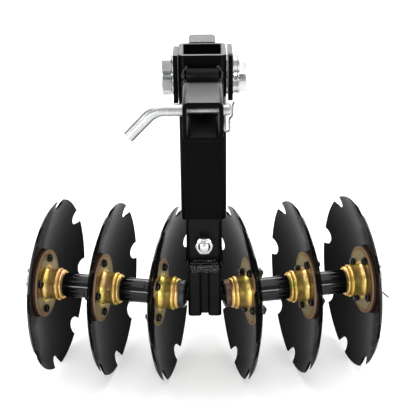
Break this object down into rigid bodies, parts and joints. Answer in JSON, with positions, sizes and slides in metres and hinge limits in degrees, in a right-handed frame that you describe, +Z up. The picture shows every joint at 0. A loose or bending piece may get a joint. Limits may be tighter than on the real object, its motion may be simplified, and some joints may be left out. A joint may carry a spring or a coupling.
{
  "type": "receiver-hitch disc harrow",
  "caption": "Small hitch-carried disc harrow: notched dished discs in two angled gangs that turn freely under a square mast with a pinned hitch shank.",
  "frame": {"origin": "in the hitch shank, where the hitch pin's axis crosses the shank's axis", "axes": "+X to the right as seen from the tractor, -Y forward along the shank to the tractor, +Z up"},
  "size_m": [0.5584, 0.2846, 0.4964],
  "materials": {
    "frame_paint": "gloss",
    "blade_paint": "gloss",
    "yellow_zinc": "satin",
    "bright_zinc": "satin",
    "black_oxide": "satin",
    "bare_steel": "satin"
  },
  "bodies": {
    "frame": {"axle_left": "bare_steel", "axle_right": "bare_steel", "castle_nuts": "bright_zinc", "centre_plate": "frame_paint", "cotter_pins": "bright_zinc", "cross_bolt_nuts": "bright_zinc", "cross_bolt_washers": "bright_zinc", "cross_bolts": "bright_zinc", "gang_block_left": "frame_paint", "gang_block_right": "frame_paint", "gang_collars": "bare_steel", "hitch_pin": "bright_zinc", "hitch_pin_clip": "bright_zinc", "hitch_shank": "frame_paint", "lower_tube": "frame_paint", "lower_tube_bolt": "frame_paint", "lower_tube_nut": "frame_paint", "mast_tube": "frame_paint", "rear_tab": "frame_paint", "side_plate_left": "frame_paint", "side_plate_right": "frame_paint", "spacer_tubes_left": "frame_paint", "spacer_tubes_right": "frame_paint", "stop_bar": "frame_paint"},
    "disc_left_inner": {"disc_blade_left_inner": "blade_paint", "disc_bolts_left_inner": "black_oxide", "disc_nuts_left_inner": "black_oxide", "hub_left_inner": "yellow_zinc"},
    "disc_left_middle": {"disc_blade_left_middle": "blade_paint", "disc_bolts_left_middle": "black_oxide", "disc_nuts_left_middle": "black_oxide", "hub_left_middle": "yellow_zinc"},
    "disc_left_outer": {"disc_blade_left_outer": "blade_paint", "disc_bolts_left_outer": "black_oxide", "disc_nuts_left_outer": "black_oxide", "hub_left_outer": "yellow_zinc"},
    "disc_right_inner": {"disc_blade_right_inner": "blade_paint", "disc_bolts_right_inner": "black_oxide", "disc_nuts_right_inner": "black_oxide", "hub_right_inner": "yellow_zinc"},
    "disc_right_middle": {"disc_blade_right_middle": "blade_paint", "disc_bolts_right_middle": "black_oxide", "disc_nuts_right_middle": "black_oxide", "hub_right_middle": "yellow_zinc"},
    "disc_right_outer": {"disc_blade_right_outer": "blade_paint", "disc_bolts_right_outer": "black_oxide", "disc_nuts_right_outer": "black_oxide", "hub_right_outer": "yellow_zinc"}
  },
  "joints": [
    {"name": "disc_left_inner_spin", "type": "hinge", "parent": "frame", "child": "disc_left_inner", "pos_m": [-0.06395, 0.07567, -0.31], "axis": [-0.9839, 0.1788, 0], "continuous": true},
    {"name": "disc_left_middle_spin", "type": "hinge", "parent": "frame", "child": "disc_left_middle", "pos_m": [-0.15053, 0.09141, -0.31], "axis": [-0.9839, 0.1788, 0], "continuous": true},
    {"name": "disc_left_outer_spin", "type": "hinge", "parent": "frame", "child": "disc_left_outer", "pos_m": [-0.23712, 0.10714, -0.31], "axis": [-0.9839, 0.1788, 0], "continuous": true},
    {"name": "disc_right_inner_spin", "type": "hinge", "parent": "frame", "child": "disc_right_inner", "pos_m": [0.06395, 0.07567, -0.31], "axis": [0.9839, 0.1788, 0], "continuous": true},
    {"name": "disc_right_middle_spin", "type": "hinge", "parent": "frame", "child": "disc_right_middle", "pos_m": [0.15053, 0.09141, -0.31], "axis": [0.9839, 0.1788, 0], "continuous": true},
    {"name": "disc_right_outer_spin", "type": "hinge", "parent": "frame", "child": "disc_right_outer", "pos_m": [0.23712, 0.10714, -0.31], "axis": [0.9839, 0.1788, 0], "continuous": true}
  ]
}
